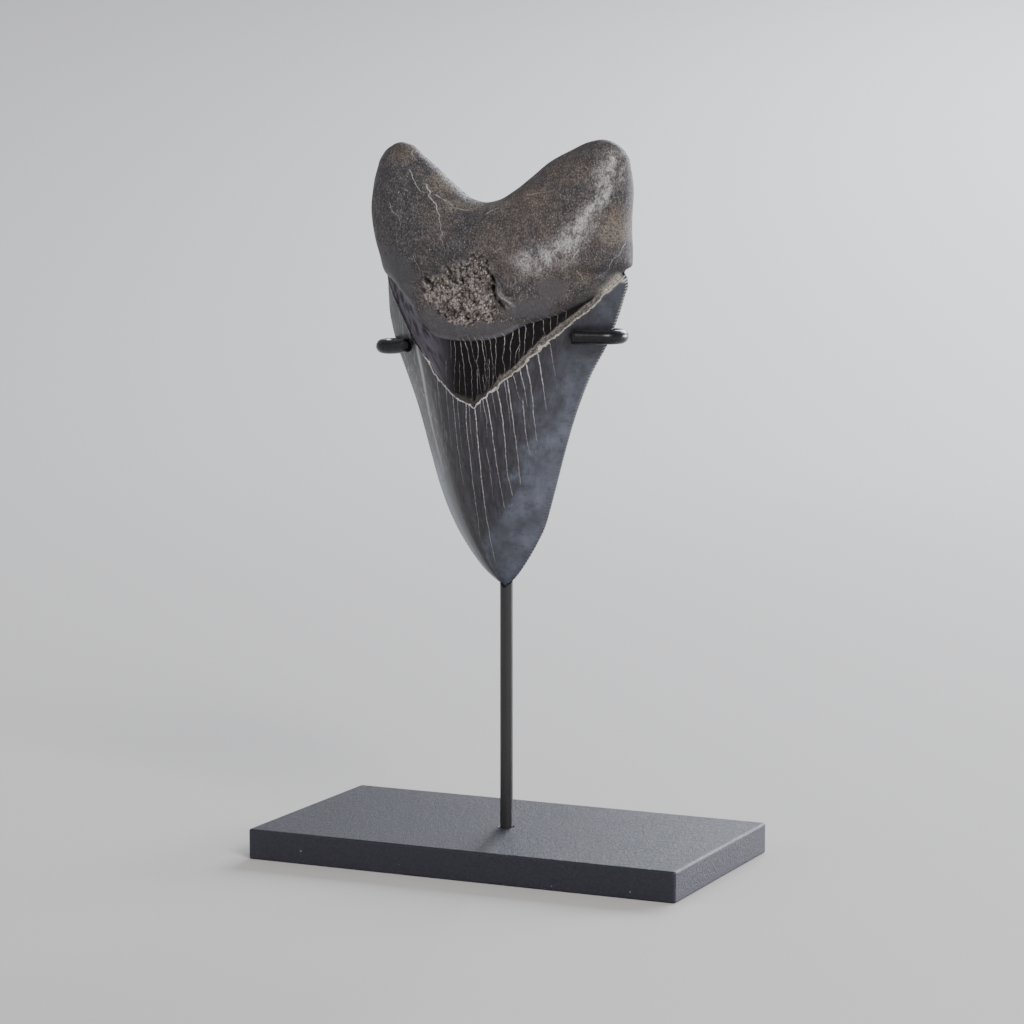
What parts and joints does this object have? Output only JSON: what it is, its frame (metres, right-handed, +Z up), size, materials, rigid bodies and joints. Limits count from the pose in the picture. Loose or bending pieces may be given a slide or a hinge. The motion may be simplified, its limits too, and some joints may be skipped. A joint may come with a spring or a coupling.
{
  "type": "fossil tooth on display stand",
  "caption": "Large serrated fossil shark tooth, shown point down on a thin steel post with two sleeved claws and a flat rectangular base.",
  "frame": {"origin": "on the surface it stands on, under the middle of the base", "axes": "+Z up, the tooth faces -Y, +X along the base's long side to the right"},
  "size_m": [0.15, 0.08, 0.2333],
  "materials": {
    "fossil_tooth": "satin blue-grey enamel below, matte speckled charcoal-brown root above, near-black band between",
    "charcoal_base": "fine-grained matte charcoal",
    "black_steel": "satin black",
    "black_sleeve": "glossy black tubing"
  },
  "bodies": {
    "root": {"tooth": "fossil_tooth", "base": "charcoal_base", "post": "black_steel", "claw_bar": "black_steel", "claw_sleeve_left": "black_sleeve", "claw_sleeve_right": "black_sleeve"}
  },
  "joints": []
}
